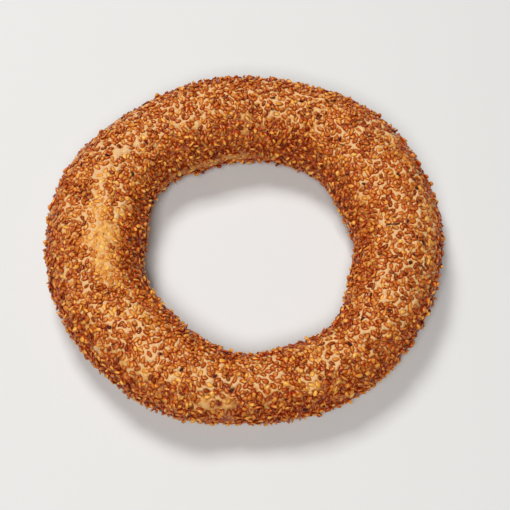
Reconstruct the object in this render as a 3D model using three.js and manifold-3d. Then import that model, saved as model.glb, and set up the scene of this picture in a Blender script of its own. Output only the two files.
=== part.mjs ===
// A simit: one rope of dough closed into a ring, baked, and crusted all over with sesame.
// Millimetres, +Z up. The ring lies on the plane z = 0, with the origin under its middle.
import * as THREE from "three";
import { mergeVertices } from "three/addons/utils/BufferGeometryUtils.js";
import Module from "manifold-3d";

// The rope of dough, at equal steps round the ring from +X towards +Y: how far its middle lies
// from the ring's centre, and how wide it is there. It was rolled by hand, so one side is thin.
const ROPE = [
  { reach: 64.0, width: 35.5 },
  { reach: 63.0, width: 38.0 },
  { reach: 63.0, width: 38.0 },
  { reach: 61.0, width: 34.5 },
  { reach: 59.5, width: 36.0 },
  { reach: 59.0, width: 37.0 },
  { reach: 61.5, width: 34.5 },
  { reach: 62.5, width: 38.5 },
  { reach: 61.5, width: 40.5 },
  { reach: 62.5, width: 37.0 },
  { reach: 62.5, width: 35.5 },
  { reach: 64.0, width: 32.5 },
  { reach: 64.5, width: 26.0 },
  { reach: 65.5, width: 27.5 },
  { reach: 66.5, width: 28.5 },
  { reach: 64.0, width: 34.0 },
];
const HEIGHT_BASE = 12.5; // the height of a rope of no width, by which thin stretches stay tall
const HEIGHT_PER_WIDTH = 0.5;
const FOOT_SHARE = 0.08; // how much of the full round height the baking tray flattened away
const CRUST = 0.6; // the mean thickness of the sesame that lies between the seeds modelled here

// Soft lumps that rising and rolling leave on the rope: a wave round its section and along it.
const LUMPS = [
  { round: 2, along: 3, height: 0.35, phase: 0.6 },
  { round: 1, along: 7, height: 0.3, phase: 2.1 },
  { round: 3, along: 5, height: 0.2, phase: 4.0 },
];
// The crease where the rope's two ends were pressed together.
const JOIN = { at: THREE.MathUtils.degToRad(84), reach: 3.5, depth: 0.8 };

// A sesame seed: a drop, pointed at one end. It sits half sunk in the crust, pile and all.
const SEED = { length: 3.3, width: 2.1, thickness: 1.6, sides: 6 };
const SEED_BROADEST = 0.12; // the broadest place, as a share of the length past the middle
const SEED_COUNT = 310;
const SEED_FREE_HEIGHT = 2.5; // no seed is modelled lower than this, so the foot stays flat
const SEED_TILT = 0.22; // the most that a seed leans out of the crust, in radians
const SEED_RANDOM_START = 20;

const STEPS_ROUND = 64; // along the rope
const STEPS_SECTION = 18; // round the rope's section

const DOUGH_COLOUR = 0xd89a4e;
const TURN = 2 * Math.PI;

// A smooth value between equally spaced ones that close on themselves (Catmull-Rom).
function roundTheRing(key, angle) {
  const steps = ROPE.length;
  const place = (((angle / TURN) * steps) % steps + steps) % steps;
  const first = Math.floor(place);
  const t = place - first;
  const [a, b, c, d] = [-1, 0, 1, 2].map((k) => ROPE[(first + k + steps) % steps][key]);
  const linear = c - a;
  const square = 2 * a - 5 * b + 4 * c - d;
  const cube = 3 * b - a - 3 * c + d;
  return b + 0.5 * t * (linear + t * (square + t * cube));
}

// How far the lumps and the join move the crust outwards. The tray keeps the underside smooth.
function relief(angle, section) {
  const past = Math.atan2(Math.sin(angle - JOIN.at), Math.cos(angle - JOIN.at));
  const across = (past * roundTheRing("reach", angle)) / JOIN.reach;
  let height = -JOIN.depth * Math.exp(-across * across);
  for (const lump of LUMPS)
    height += lump.height * Math.sin(lump.round * section + lump.along * angle + lump.phase);
  const offTheTray = (1 + Math.sin(section)) / 2;
  return height * offTheTray;
}

// A point of the crust: angle goes round the ring, section round the rope from its outer side up.
function crustPoint(angle, section) {
  const width = roundTheRing("width", angle);
  const fullHeight = (HEIGHT_BASE + HEIGHT_PER_WIDTH * width) / (1 - FOOT_SHARE);
  const swell = CRUST + relief(angle, section);
  const reach = roundTheRing("reach", angle) + (width / 2 + swell) * Math.cos(section);
  const middle = fullHeight * (0.5 - FOOT_SHARE);
  const z = middle + (fullHeight / 2 + swell) * Math.sin(section);
  return new THREE.Vector3(reach * Math.cos(angle), reach * Math.sin(angle), Math.max(z, 0));
}

function keepOnlyPlaces(geometry) {
  geometry.deleteAttribute("normal");
  geometry.deleteAttribute("uv");
  return mergeVertices(geometry, 1e-4);
}

// The loaf without its raised seeds: a torus with every vertex moved to its place on the crust.
function loafGeometry() {
  const ringRadius = 2;
  const geometry = keepOnlyPlaces(
    new THREE.TorusGeometry(ringRadius, 1, STEPS_SECTION, STEPS_ROUND),
  );
  const places = geometry.getAttribute("position");
  for (let i = 0; i < places.count; i += 1) {
    const [x, y, z] = [places.getX(i), places.getY(i), places.getZ(i)];
    const point = crustPoint(Math.atan2(y, x), Math.atan2(z, Math.hypot(x, y) - ringRadius));
    places.setXYZ(i, point.x, point.y, point.z);
  }
  return geometry;
}

// One seed round the origin, its length along X, lying in the XY plane.
function seedGeometry() {
  const half = SEED.length / 2;
  const profile = [
    new THREE.Vector2(0, -half),
    new THREE.Vector2(0.5, SEED_BROADEST * SEED.length),
    new THREE.Vector2(0, half),
  ];
  const geometry = keepOnlyPlaces(new THREE.LatheGeometry(profile, SEED.sides));
  geometry.rotateZ(-Math.PI / 2);
  return geometry.scale(1, SEED.width, SEED.thickness);
}

// A repeatable run of numbers from 0 to 1.
function randomRun(start) {
  let state = start;
  return () => {
    state = (state * 1664525 + 1013904223) % 4294967296;
    return state / 4294967296;
  };
}

// The matrices of the seeds, spread evenly over the crust above the foot and laid every way.
function seedPlaces() {
  const random = randomRun(SEED_RANDOM_START);
  const nudge = 1e-3;
  const places = [];
  // Steps of the plastic number's powers fill a unit square evenly, in whatever number.
  const stepRound = 0.7548776662;
  const stepSection = 0.5698402910;
  for (let i = 1; places.length < SEED_COUNT; i += 1) {
    const angle = ((i * stepRound) % 1) * TURN;
    const section = ((i * stepSection) % 1) * TURN;
    const point = crustPoint(angle, section);
    // The inner side of the ring is shorter, so fewer seeds fit round it.
    const outermost = roundTheRing("reach", angle) + roundTheRing("width", angle) / 2;
    const fits = random() < Math.hypot(point.x, point.y) / outermost;
    const yaw = random() * TURN;
    const lean = (random() - 0.5) * 2 * SEED_TILT;
    if (!fits || point.z < SEED_FREE_HEIGHT) continue;
    const along = crustPoint(angle + nudge, section).sub(point).normalize();
    const up = along
      .clone()
      .cross(crustPoint(angle, section + nudge).sub(point))
      .normalize();
    const side = up.clone().cross(along);
    const place = new THREE.Matrix4()
      .makeBasis(along, side, up)
      .multiply(new THREE.Matrix4().makeRotationZ(yaw))
      .multiply(new THREE.Matrix4().makeRotationY(lean))
      .setPosition(point);
    places.push(place);
  }
  return places;
}

const wasm = await Module();
wasm.setup();

function solidOf(geometry) {
  return new wasm.Manifold(
    new wasm.Mesh({
      numProp: 3,
      vertProperties: new Float32Array(geometry.getAttribute("position").array),
      triVerts: new Uint32Array(geometry.index.array),
    }),
  );
}

function geometryOf(solid) {
  const { vertProperties, triVerts } = solid.getMesh();
  return new THREE.BufferGeometry()
    .setAttribute("position", new THREE.BufferAttribute(vertProperties, 3))
    .setIndex(new THREE.BufferAttribute(triVerts, 1));
}

const seed = solidOf(seedGeometry());
let crusted = solidOf(loafGeometry());
for (const place of seedPlaces()) crusted = crusted.add(seed.transform(place.elements));

const simitGeometry = geometryOf(crusted);
simitGeometry.computeVertexNormals();
const simit = new THREE.Mesh(
  simitGeometry,
  new THREE.MeshStandardMaterial({ color: DOUGH_COLOUR, roughness: 0.55, metalness: 0 }),
);
simit.name = "simit";

const group = new THREE.Group();
group.add(simit);

export default group;
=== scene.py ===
"""The looks of a simit: golden dough under a crust of toasted sesame.

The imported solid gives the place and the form. The dough and every seed of its crust stand in for
it here, on a pale floor under soft light. The bread is worked out in millimetres, and its meshes
are in metres.
"""

import logging
import math
from dataclasses import dataclass, field
from enum import Enum

import bmesh
import bpy
import numpy as np
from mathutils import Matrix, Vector, kdtree, noise


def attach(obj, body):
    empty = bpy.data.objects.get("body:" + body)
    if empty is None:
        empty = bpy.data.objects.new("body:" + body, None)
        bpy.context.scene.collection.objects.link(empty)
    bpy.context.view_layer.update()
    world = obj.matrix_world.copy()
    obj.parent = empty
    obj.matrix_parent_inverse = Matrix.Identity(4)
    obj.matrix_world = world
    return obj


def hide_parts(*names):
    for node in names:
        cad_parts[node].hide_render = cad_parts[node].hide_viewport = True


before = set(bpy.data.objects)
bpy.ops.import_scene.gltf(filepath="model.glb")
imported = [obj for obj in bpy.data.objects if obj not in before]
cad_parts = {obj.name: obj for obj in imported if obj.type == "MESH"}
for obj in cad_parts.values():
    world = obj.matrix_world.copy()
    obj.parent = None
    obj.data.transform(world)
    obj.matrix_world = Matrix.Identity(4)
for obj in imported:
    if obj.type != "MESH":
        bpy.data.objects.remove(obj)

LOG = logging.getLogger("simit")
NODE = "simit"
BODY = "root"
METRES_PER_MM = 0.001
TURN = 2 * math.pi
LEAST_LENGTH = 1e-12

Colour = tuple[float, float, float]


# ---------------------------------------------------------------------------------------------
# The form of the bread
# ---------------------------------------------------------------------------------------------


def unit(vectors: np.ndarray) -> np.ndarray:
    """Return the vectors, one a row, at a length of 1."""
    lengths = np.linalg.norm(vectors, axis=-1, keepdims=True)
    return vectors / np.maximum(lengths, LEAST_LENGTH)


def nearest_turn(angle: np.ndarray) -> np.ndarray:
    """Return angles in radians brought to between minus and plus half a turn."""
    return (angle + math.pi) % TURN - math.pi


def crest_share(section: np.ndarray) -> np.ndarray:
    """Return how near angles round the rope are to its crest, from 0 on the flanks to 1."""
    return np.clip(np.sin(section), 0, 1)


def noise_at(points: np.ndarray, size: float, layers: int = 1, shift: float = 0.0) -> np.ndarray:
    """Read soft noise at points.

    Args:
        points: Places in millimetres, one a row.
        size: The size of the noise's lumps in millimetres.
        layers: How many noises are added up, each twice as fine and half as high as the last.
        shift: How far along each axis the noise is read, so that no two noises are alike.

    Returns:
        One value a point, mostly between -1 and 1.
    """
    places = (points + shift) / size
    if layers == 1:
        return np.array([noise.noise(Vector(place)) for place in places])
    fall, step = 1.0, 2.0
    return np.array([noise.fractal(Vector(place), fall, step, layers) for place in places])


@dataclass(frozen=True)
class Frames:
    """Places on the skin of the rope, each with its directions.

    Attributes:
        azimuth: The angle round the ring, from +X towards +Y, in radians.
        section: The angle round the rope, from its outer side upwards, in radians.
        point: The places in millimetres, one a row.
        along: The direction along the rope.
        side: The direction round the rope.
        out: The direction out of the skin.
        area: The skin's area for each unit of the two angles.
    """

    azimuth: np.ndarray
    section: np.ndarray
    point: np.ndarray
    along: np.ndarray
    side: np.ndarray
    out: np.ndarray
    area: np.ndarray

    def pick(self, which: np.ndarray) -> "Frames":
        """Return the frames that an index or a mask picks."""
        return Frames(**{name: getattr(self, name)[which] for name in self.__dataclass_fields__})


@dataclass(frozen=True)
class Rope:
    """The rope of dough closed into a ring, without its seeds, in millimetres.

    Attributes:
        reaches: How far its middle lies from the ring's, at equal steps from +X towards +Y.
        widths: How wide it is at the same steps.
        height_base: The height of a rope of no width, by which thin stretches stay tall.
        height_per_width: How much taller it is for each millimetre of width.
        foot_share: How much of the full round height the tray flattened away.
        foot_height: How high the dough's underside lies, on the seeds pressed up under it.
        lumps: Waves of the skin: times round the section, times along the ring, height, phase.
        join_azimuth: Where its two ends were pressed together, in radians.
        join_reach: How far the crease there reaches.
        join_depth: How deep the crease is.
    """

    reaches: tuple[float, ...] = (
        64.0, 63.0, 63.0, 61.3, 59.5, 59.0, 61.5, 62.5,
        61.5, 62.5, 62.5, 64.0, 64.5, 65.5, 66.5, 64.0,
    )
    widths: tuple[float, ...] = (
        35.5, 38.0, 37.4, 36.0, 36.0, 37.0, 34.5, 38.5,
        40.5, 37.0, 35.5, 32.5, 26.0, 27.5, 28.5, 34.0,
    )
    height_base: float = 12.5
    height_per_width: float = 0.5
    foot_share: float = 0.08
    foot_height: float = 0.5
    lumps: tuple[tuple[float, ...], ...] = ((2, 3, 0.35, 0.6), (1, 7, 0.3, 2.1), (3, 5, 0.2, 4.0))
    join_azimuth: float = math.radians(84)
    join_reach: float = 3.5
    join_depth: float = 0.8

    @staticmethod
    def round_the_ring(values: tuple[float, ...], azimuth: np.ndarray) -> np.ndarray:
        """Read smooth values between equally spaced ones that close on themselves.

        Args:
            values: The values at equal steps round the ring.
            azimuth: The angles to read them at, in radians.

        Returns:
            One value an angle, on the curve of Catmull and Rom.
        """
        knots = np.array(values)
        place = azimuth / TURN * len(knots)
        first = np.floor(place).astype(int)
        t = place - first
        a, b, c, d = (knots[(first + k) % len(knots)] for k in (-1, 0, 1, 2))
        return b + 0.5 * t * (c - a + t * (2 * a - 5 * b + 4 * c - d + t * (3 * b - a - 3 * c + d)))

    def swell(self, azimuth: np.ndarray, section: np.ndarray) -> np.ndarray:
        """Work out how far the lumps and the join move the skin outwards.

        Args:
            azimuth: The angles round the ring, in radians.
            section: The angles round the rope, in radians.

        Returns:
            The distances in millimetres, which fade to nothing on the underside.
        """
        reach = self.round_the_ring(self.reaches, azimuth)
        across = nearest_turn(azimuth - self.join_azimuth) * reach / self.join_reach
        height = -self.join_depth * np.exp(-across * across)
        for round_, along, high, phase in self.lumps:
            height = height + high * np.sin(round_ * section + along * azimuth + phase)
        return height * (1 + np.sin(section)) / 2

    def point(self, azimuth: np.ndarray, section: np.ndarray) -> np.ndarray:
        """Work out places on the smooth skin.

        Args:
            azimuth: The angles round the ring, in radians.
            section: The angles round the rope, in radians.

        Returns:
            The places in millimetres, one a row.
        """
        width = self.round_the_ring(self.widths, azimuth)
        full = (self.height_base + self.height_per_width * width) / (1 - self.foot_share)
        swell = self.swell(azimuth, section)
        reach = self.round_the_ring(self.reaches, azimuth)
        reach = reach + (width / 2 + swell) * np.cos(section)
        z = full * (0.5 - self.foot_share) + (full / 2 + swell) * np.sin(section)
        z = np.maximum(z, self.foot_height)
        return np.stack([reach * np.cos(azimuth), reach * np.sin(azimuth), z], axis=-1)

    def frames(self, azimuth: np.ndarray, section: np.ndarray) -> Frames:
        """Work out places on the smooth skin with their directions.

        Args:
            azimuth: The angles round the ring, in radians.
            section: The angles round the rope, in radians.

        Returns:
            The places, directions and areas, one a row.
        """
        nudge = 1e-3
        point = self.point(azimuth, section)
        along = (self.point(azimuth + nudge, section) - point) / nudge
        side = (self.point(azimuth, section + nudge) - point) / nudge
        out = np.cross(along, side)
        area = np.linalg.norm(out, axis=-1)
        out = unit(out)
        along = unit(along)
        return Frames(azimuth, section, point, along, np.cross(out, along), out, area)

    def patch_distance(
        self, azimuth: np.ndarray, section: np.ndarray, centre: tuple[float, float]
    ) -> tuple[np.ndarray, np.ndarray]:
        """Measure places from a centre on the skin.

        Args:
            azimuth: The places' angles round the ring, in radians.
            section: The places' angles round the rope, in radians.
            centre: The centre's two angles in degrees.

        Returns:
            The distances along the rope and round it, in millimetres.
        """
        width = self.round_the_ring(self.widths, azimuth)
        reach = self.round_the_ring(self.reaches, azimuth) + width / 2 * np.cos(section)
        along = nearest_turn(azimuth - math.radians(centre[0])) * reach
        around = nearest_turn(section - math.radians(centre[1])) * width / 2
        return along, around


# ---------------------------------------------------------------------------------------------
# Where the crust is bare, thin, heaped and split
# ---------------------------------------------------------------------------------------------


@dataclass(frozen=True)
class Patch:
    """A place on the skin with a share of something, such as bareness, that fades at its edge.

    Attributes:
        azimuth: Its middle round the ring, in degrees.
        section: Its middle round the rope, in degrees.
        length: Half its length along the rope, in millimetres.
        breadth: Half its breadth round the rope, in millimetres.
        share: Its share in the middle, from 0 to 1.
    """

    azimuth: float
    section: float
    length: float
    breadth: float
    share: float


def patches(*rows: tuple[float, ...]) -> tuple[Patch, ...]:
    """Return patches, each from its azimuth, section, length, breadth and share."""
    return tuple(Patch(*row) for row in rows)


BARE_PATCHES = patches(
    (175, 100, 5.0, 4.0, 0.8), (176, 83, 4.0, 4.0, 0.5), (188, 99, 8.0, 6.0, 1.0),
    (187, 117, 5.0, 4.0, 0.6), (196, 97, 7.0, 5.0, 0.85), (203, 105, 5.0, 4.0, 0.6),
    (165, 92, 6.0, 3.0, 0.5), (108, 186, 22.0, 3.5, 0.9),
)

THIN_PATCHES = patches(
    (16, 61, 4.0, 4.0, 0.6), (33, 114, 2.5, 2.0, 0.6), (40, 101, 3.0, 2.0, 0.5),
    (55, 116, 3.5, 2.5, 0.8), (74, 112, 6.0, 1.8, 0.65), (74, 89, 3.0, 2.0, 0.4),
    (90, 130, 2.5, 4.0, 0.5), (109, 108, 3.0, 3.0, 0.7), (111, 119, 3.0, 3.0, 0.6),
    (120, 104, 3.0, 2.5, 0.8), (140, 101, 5.0, 4.0, 0.6), (146, 92, 5.0, 3.0, 0.9),
    (159, 89, 5.0, 3.0, 1.0), (166, 90, 6.0, 3.0, 0.7), (161, 114, 3.0, 3.0, 0.7),
    (169, 130, 3.0, 2.0, 0.6), (218, 78, 5.0, 4.0, 0.5), (222, 116, 5.0, 4.0, 0.6),
    (235, 44, 4.0, 3.5, 1.0), (239, 52, 4.0, 3.0, 0.9), (238, 80, 3.0, 4.0, 0.8),
    (248, 64, 2.5, 2.5, 0.9), (256, 90, 2.5, 6.0, 0.7), (262, 36, 8.0, 4.0, 1.0),
    (259, 65, 3.0, 3.0, 0.9), (268, 78, 3.0, 2.5, 0.7), (276, 75, 6.0, 3.0, 0.6),
    (292, 63, 4.0, 4.0, 0.5), (301, 87, 4.0, 4.0, 0.4), (310, 65, 4.0, 5.0, 0.4),
    (330, 97, 4.0, 4.0, 0.2), (341, 95, 4.0, 4.0, 0.2), (354, 95, 3.0, 4.0, 0.2),
    (10, 38, 5.0, 3.5, 0.5), (174, 124, 5.0, 3.0, 0.7), (88, 118, 3.0, 2.5, 0.7),
    (283, 63, 5.0, 3.0, 0.6), (265, 8, 5.0, 3.0, 0.6), (299, 10, 5.0, 3.0, 0.5),
    (298, 46, 4.0, 2.5, 0.5), (197, 25, 5.0, 3.0, 0.4), (8, 42, 24.0, 7.0, 0.4),
    (340, 48, 16.0, 6.0, 0.3), (36, 50, 12.0, 6.0, 0.35), (136, 48, 26.0, 6.0, 0.2),
    (185, 40, 26.0, 8.0, 0.3), (142, 20, 50.0, 9.0, 0.4),
)

HEAPED_PATCHES = patches(
    (85, 150, 45.0, 13.0, 0.9), (130, 150, 25.0, 9.0, 0.5), (195, 150, 28.0, 9.0, 0.6),
    (25, 160, 22.0, 8.0, 0.6), (340, 160, 22.0, 8.0, 0.4), (250, 150, 40.0, 7.0, 0.5),
    (295, 20, 45.0, 12.0, 0.6), (225, 10, 45.0, 10.0, 0.6), (75, 28, 40.0, 9.0, 0.5),
    (20, 164, 8.0, 6.0, 0.8), (38, 180, 8.0, 5.0, 0.8), (156, 176, 8.0, 6.0, 0.8),
    (181, 132, 7.0, 4.0, 0.5), (192, 134, 9.0, 5.0, 0.6), (232, 20, 8.0, 5.0, 0.8),
    (279, 27, 10.0, 5.0, 0.7), (309, 12, 12.0, 6.0, 0.7), (334, 17, 8.0, 5.0, 0.7),
    (338, 138, 5.0, 6.0, 0.8), (353, 65, 4.0, 3.0, 0.6), (188, 61, 6.0, 5.0, 0.5),
    (168, 75, 5.0, 4.0, 0.5), (150, 86, 2.5, 2.0, 0.6), (117, 118, 3.0, 3.0, 0.6),
    (136, 109, 2.0, 2.0, 0.5), (83, 113, 3.0, 4.0, 0.8), (63, 100, 2.5, 2.0, 0.7),
    (46, 88, 3.0, 3.0, 0.6), (64, 52, 10.0, 6.0, 0.5), (4, 122, 6.0, 5.0, 0.8),
    (76, 57, 9.0, 4.0, 0.5), (224, 41, 5.0, 3.5, 0.5), (290, 99, 5.0, 3.0, 0.6),
    (34, 98, 3.0, 2.5, 0.5), (267, 97, 5.0, 3.0, 0.8), (61, 94, 4.0, 3.0, 0.7),
    (212, 92, 5.0, 5.0, 0.5),
)


@dataclass(frozen=True)
class CrustShares:
    """How bare, thin, heaped and split the crust is at some places, each from 0 to 1."""

    bare: np.ndarray
    thin: np.ndarray
    heaped: np.ndarray
    split: np.ndarray


@dataclass(frozen=True)
class CrustMap:
    """How the sesame lies over the skin: where it is bare, thin, heaped and split.

    Attributes:
        rope: The rope that it lies on.
        bare: Where the dough shows.
        thin: Where the seeds lie apart.
        heaped: Where seeds lie on seeds.
        edge_size: The size of the wanderings of a patch's edge, in millimetres.
        edge_wander: How far the edge wanders, in units of the patch's half length.
        edge_full: What is left of a patch at its middle, before it is kept to 1 at most.
        edge_fall: How fast that falls, for each half length from the middle.
        split_cell: The size of the clumps that the crust breaks into, in millimetres.
        split_warp: How far the splits wander, in millimetres.
        split_warp_shift: Where the noise of the wandering is read.
        split_half_width: Half the width of a split, in millimetres.
        split_least_gap: The least distance between two clumps' middles, in cells.
        region_size: The size of the regions that are split and whole, in millimetres.
        region_contrast: How sharply they part.
        region_shift: Where their noise is read.
        split_lowest: The sine of the section's angle where the splits start.
        split_growth: How fast they grow upwards from there.
    """

    rope: Rope
    bare: tuple[Patch, ...] = BARE_PATCHES
    thin: tuple[Patch, ...] = THIN_PATCHES
    heaped: tuple[Patch, ...] = HEAPED_PATCHES
    edge_size: float = 5.0
    edge_wander: float = 0.6
    edge_full: float = 2.0
    edge_fall: float = 1.6
    split_cell: float = 8.5
    split_warp: float = 2.6
    split_warp_shift: float = 91.0
    split_half_width: float = 0.95
    split_least_gap: float = 1e-6
    region_size: float = 12.0
    region_contrast: float = 1.8
    region_shift: float = 37.0
    split_lowest: float = 0.15
    split_growth: float = 3.0

    def share(self, found_in: tuple[Patch, ...], frames: Frames, wander: np.ndarray) -> np.ndarray:
        """Read the largest share that any of some patches has at each place.

        Args:
            found_in: The patches.
            frames: The places.
            wander: How far the patches' edges wander at each place.

        Returns:
            The shares, from 0 to 1.
        """
        found = np.zeros(len(frames.azimuth))
        for patch in found_in:
            along, around = self.rope.patch_distance(
                frames.azimuth, frames.section, (patch.azimuth, patch.section)
            )
            far = np.hypot(along / patch.length, around / patch.breadth) + wander
            left = np.clip(self.edge_full - self.edge_fall * far, 0, 1)
            found = np.maximum(found, patch.share * left)
        return found

    def split(self, frames: Frames) -> np.ndarray:
        """Work out how much of each place is a split between clumps of seeds.

        The clumps are the cells round scattered points, as the crust breaks when the dough rises.

        Args:
            frames: The places.

        Returns:
            The shares, from 0 to 1.
        """
        warp = noise_at(frames.point, self.split_cell / 2, shift=self.split_warp_shift)[:, None]
        places = frames.point + self.split_warp * warp * frames.along
        gaps = np.empty(len(places))
        for i, place in enumerate(places / self.split_cell):
            distances, centres = noise.voronoi(Vector(place))
            apart = max((centres[0] - centres[1]).length, self.split_least_gap)
            gaps[i] = (distances[1] ** 2 - distances[0] ** 2) / (2 * apart)
        line = 1.0 - gaps * self.split_cell / self.split_half_width
        region = noise_at(frames.point, self.region_size, shift=self.region_shift)
        where = np.clip(0.5 + self.region_contrast * region, 0, 1)
        upper = np.clip((np.sin(frames.section) - self.split_lowest) * self.split_growth, 0, 1)
        return np.clip(line, 0, 1) * where * upper

    def read(self, frames: Frames) -> CrustShares:
        """Read all that the map says of some places.

        Args:
            frames: The places.

        Returns:
            How bare, thin, heaped and split the crust is at each of them.
        """
        wander = noise_at(frames.point, self.edge_size, 3) * self.edge_wander
        bare, thin, heaped = (
            self.share(found_in, frames, wander) for found_in in (self.bare, self.thin, self.heaped)
        )
        return CrustShares(bare, thin, heaped, self.split(frames))


# ---------------------------------------------------------------------------------------------
# Materials
# ---------------------------------------------------------------------------------------------


class Surface:
    """A material under construction, with short ways to add and join its nodes."""

    # A Mix node has sockets for every kind of value. These are its share, and those of colours.
    mix_share, mix_first, mix_second, mix_result = 0, 6, 7, 2

    def __init__(self, name: str) -> None:
        """Start a material with only its output and a Principled shader.

        Args:
            name: The material's name.
        """
        self.material = bpy.data.materials.new(name)
        self.material.use_nodes = True
        self.tree = self.material.node_tree
        self.tree.nodes.clear()
        self.output = self.add("ShaderNodeOutputMaterial")
        self.shader = self.add("ShaderNodeBsdfPrincipled")
        self.join(self.shader.outputs["BSDF"], self.output.inputs["Surface"])

    def add(self, kind: str, **settings: object) -> bpy.types.Node:
        """Add a node with settings on itself.

        Args:
            kind: The node's type.
            settings: What is set on the node, by name.

        Returns:
            The node.
        """
        node = self.tree.nodes.new(kind)
        for name, value in settings.items():
            setattr(node, name, value)
        return node

    def join(self, start: bpy.types.NodeSocket, end: bpy.types.NodeSocket) -> None:
        """Link an output to an input."""
        self.tree.links.new(start, end)

    def feed(self, socket: bpy.types.NodeSocket, value: object) -> None:
        """Link or set an input, by whether the value is an output or a constant.

        Args:
            socket: The input.
            value: An output, a colour or a number.
        """
        if isinstance(value, bpy.types.NodeSocket):
            self.join(value, socket)
        elif isinstance(value, tuple):
            socket.default_value = (*value, 1.0)
        else:
            socket.default_value = value

    def attribute(self, name: str) -> bpy.types.NodeSocket:
        """Return the output that reads one of the mesh's own values."""
        return self.add("ShaderNodeAttribute", attribute_name=name).outputs["Fac"]

    def place(self) -> bpy.types.NodeSocket:
        """Return the output that reads the place on the object."""
        return self.add("ShaderNodeTexCoord").outputs["Object"]

    def mix(self, share: object, first: object, second: object) -> bpy.types.NodeSocket:
        """Mix two colours, each an output or a constant.

        Args:
            share: How much of the second there is, as an output or a number.
            first: The colour at 0.
            second: The colour at 1.

        Returns:
            The output with the colour between them.
        """
        node = self.add("ShaderNodeMix", data_type="RGBA")
        self.feed(node.inputs[self.mix_share], share)
        self.feed(node.inputs[self.mix_first], first)
        self.feed(node.inputs[self.mix_second], second)
        return node.outputs[self.mix_result]

    def ramp(
        self, value: bpy.types.NodeSocket, stops: tuple[tuple[float, Colour], ...]
    ) -> bpy.types.NodeSocket:
        """Colour by a value.

        Args:
            value: The output with the value, from 0 to 1.
            stops: The colours, each after its place.

        Returns:
            The output with the colour.
        """
        node = self.add("ShaderNodeValToRGB")
        elements = node.color_ramp.elements
        while len(elements) < len(stops):
            elements.new(1.0)
        for element, (place, colour) in zip(elements, stops, strict=True):
            element.position = place
            element.color = (*colour, 1.0)
        self.join(value, node.inputs["Fac"])
        return node.outputs["Color"]

    def sum(self, operation: str, *values: object) -> bpy.types.NodeSocket:
        """Reckon with values, and keep what comes out between 0 and 1.

        Args:
            operation: What the Math node does.
            values: Its values in order, each an output or a number.

        Returns:
            The output with what comes out.
        """
        node = self.add("ShaderNodeMath", operation=operation, use_clamp=True)
        for socket, value in zip(node.inputs, values, strict=False):
            self.feed(socket, value)
        return node.outputs[0]

    def grain(self, group: bpy.types.NodeTree, scale: float, contrast: float) -> bpy.types.Node:
        """Place the grain in the material.

        Args:
            group: The grain's node group.
            scale: How many cells it has a metre.
            contrast: How strongly its amount differs from place to place.

        Returns:
            The group's node.
        """
        node = self.add("ShaderNodeGroup", node_tree=group)
        self.join(self.place(), node.inputs["Place"])
        node.inputs["Scale"].default_value = scale
        node.inputs["Contrast"].default_value = contrast
        return node

    def polish(self, roughness: float, specular: float) -> None:
        """Set how rough the shader is and how strongly it reflects."""
        self.shader.inputs["Roughness"].default_value = roughness
        self.shader.inputs["Specular IOR Level"].default_value = specular

    def bump(self, height: bpy.types.NodeSocket, strength: float, depth: float) -> None:
        """Give the shader a bump.

        Args:
            height: The output with its height, from 0 to 1.
            strength: How strongly it shows, from 0 to 1.
            depth: How deep it is, in metres.
        """
        node = self.add("ShaderNodeBump")
        node.inputs["Strength"].default_value = strength
        node.inputs["Distance"].default_value = depth
        self.join(height, node.inputs["Height"])
        self.join(node.outputs["Normal"], self.shader.inputs["Normal"])


@dataclass(frozen=True)
class Grain:
    """The fine cloudy grain that dough and seeds share.

    Attributes:
        detail: How many finer clouds are added.
        roughness: How strong the finer ones are.
        middle: The amount that stands for no change.
    """

    detail: float = 4.0
    roughness: float = 0.6
    middle: float = 0.5

    def make(self) -> bpy.types.NodeTree:
        """Build the grain.

        Returns:
            A node group that reads a place, a scale in cells a metre and a contrast, and puts out
            an amount round a half for colours and a height for bumps.
        """
        tree = bpy.data.node_groups.new("grain", "ShaderNodeTree")
        tree.interface.new_socket("Place", in_out="INPUT", socket_type="NodeSocketVector")
        tree.interface.new_socket("Scale", in_out="INPUT", socket_type="NodeSocketFloat")
        tree.interface.new_socket("Contrast", in_out="INPUT", socket_type="NodeSocketFloat")
        tree.interface.new_socket("Amount", in_out="OUTPUT", socket_type="NodeSocketFloat")
        tree.interface.new_socket("Height", in_out="OUTPUT", socket_type="NodeSocketFloat")
        inside = tree.nodes.new("NodeGroupInput")
        outside = tree.nodes.new("NodeGroupOutput")
        cloud = tree.nodes.new("ShaderNodeTexNoise")
        cloud.inputs["Detail"].default_value = self.detail
        cloud.inputs["Roughness"].default_value = self.roughness
        centred = tree.nodes.new("ShaderNodeMath")
        centred.operation = "SUBTRACT"
        centred.inputs[1].default_value = self.middle
        spread = tree.nodes.new("ShaderNodeMath")
        spread.operation = "MULTIPLY_ADD"
        spread.use_clamp = True
        spread.inputs[2].default_value = self.middle
        tree.links.new(inside.outputs["Place"], cloud.inputs["Vector"])
        tree.links.new(inside.outputs["Scale"], cloud.inputs["Scale"])
        tree.links.new(cloud.outputs["Fac"], centred.inputs[0])
        tree.links.new(centred.outputs[0], spread.inputs[0])
        tree.links.new(inside.outputs["Contrast"], spread.inputs[1])
        tree.links.new(spread.outputs[0], outside.inputs["Amount"])
        tree.links.new(cloud.outputs["Fac"], outside.inputs["Height"])
        return tree


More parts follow.
